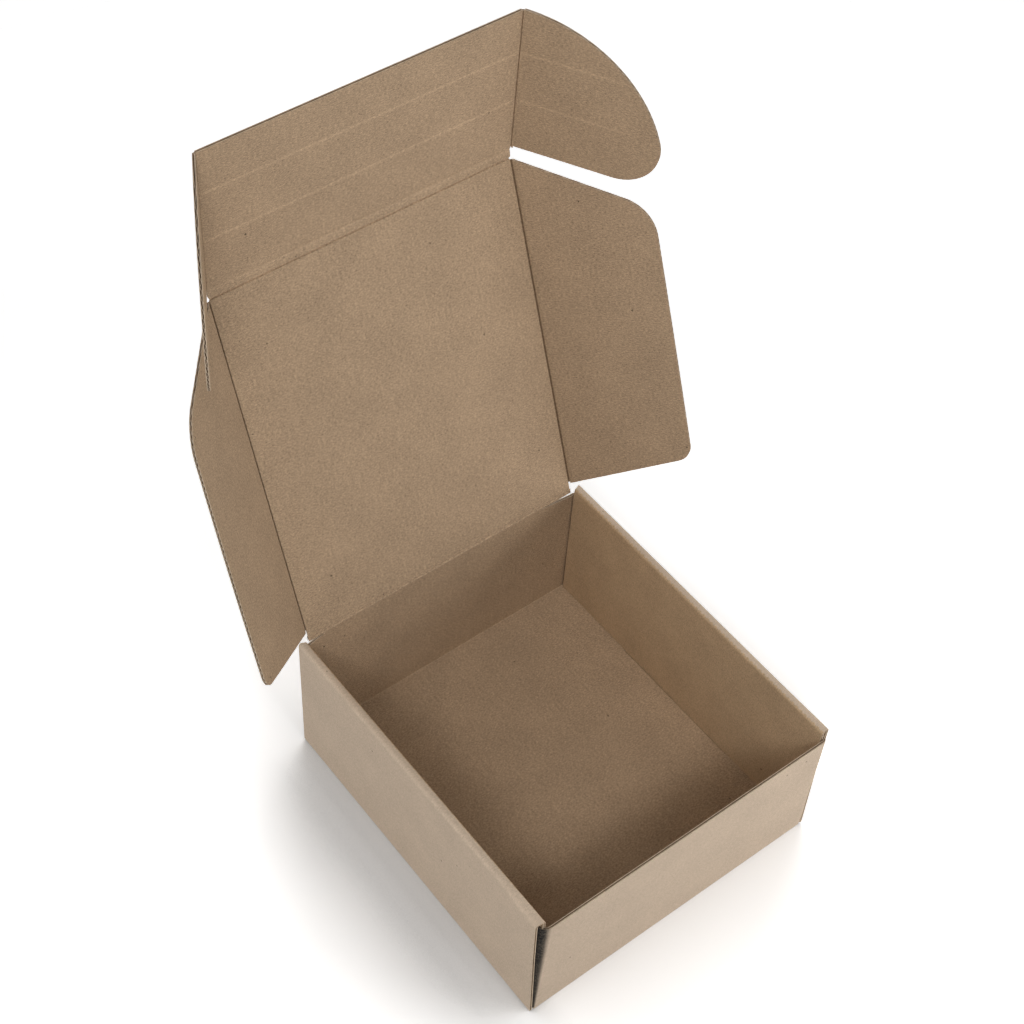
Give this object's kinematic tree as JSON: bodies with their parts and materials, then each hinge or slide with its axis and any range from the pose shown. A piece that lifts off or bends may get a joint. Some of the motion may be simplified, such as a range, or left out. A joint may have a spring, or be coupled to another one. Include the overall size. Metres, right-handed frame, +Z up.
{
  "type": "corrugated mailer box",
  "caption": "Shallow kraft corrugated mailer box with rolled side walls and an open hinged lid that carries side flaps and a tuck flap with rounded ears.",
  "frame": {"origin": "middle of the underside of the base", "axes": "+X to the box's right seen from the front, front wall facing -Y, +Z up"},
  "size_m": [0.2899, 0.2994, 0.3936],
  "materials": {
    "board": "brown kraft liner, matt, mottled with short fibres"
  },
  "bodies": {
    "tray": {"tray": "board"},
    "lid": {"lid_panel": "board"},
    "side_flap_left": {"side_flap_left": "board"},
    "side_flap_right": {"side_flap_right": "board"},
    "tuck": {"tuck_flap": "board"},
    "ear_left": {"ear_left": "board"},
    "ear_right": {"ear_right": "board"}
  },
  "joints": [
    {"name": "lid_hinge", "type": "hinge", "parent": "tray", "child": "lid", "pos_m": [0, 0.1102, 0.0966], "axis": [1, 0, 0], "range_deg": [-69.3, 110.7]},
    {"name": "side_flap_left_fold", "type": "hinge", "parent": "lid", "child": "side_flap_left", "pos_m": [-0.0954, 0.10945, 0.09688], "axis": [0, 0.3535, 0.9354], "range_deg": [-77, 123]},
    {"name": "side_flap_right_fold", "type": "hinge", "parent": "lid", "child": "side_flap_right", "pos_m": [0.0954, 0.10945, 0.09688], "axis": [0, -0.3535, -0.9354], "range_deg": [-69, 110]},
    {"name": "tuck_fold", "type": "hinge", "parent": "lid", "child": "tuck", "pos_m": [0, 0.18673, 0.29912], "axis": [1, 0, 0], "range_deg": [-22.5, 67.5]},
    {"name": "ear_left_fold", "type": "hinge", "parent": "tuck", "child": "ear_left", "pos_m": [-0.0962, 0.18761, 0.30445], "axis": [0, -0.0314, 0.9995], "range_deg": [-17, 50]},
    {"name": "ear_right_fold", "type": "hinge", "parent": "tuck", "child": "ear_right", "pos_m": [0.0962, 0.18761, 0.30445], "axis": [0, 0.0314, -0.9995], "range_deg": [-17, 50]}
  ],
  "couplings": [
    {"joint": "side_flap_left_fold", "follows": "lid_hinge", "ratio": 1.11},
    {"joint": "side_flap_right_fold", "follows": "lid_hinge", "ratio": 0.99},
    {"joint": "ear_left_fold", "follows": "tuck_fold", "ratio": 0.74},
    {"joint": "ear_right_fold", "follows": "tuck_fold", "ratio": 0.74}
  ]
}
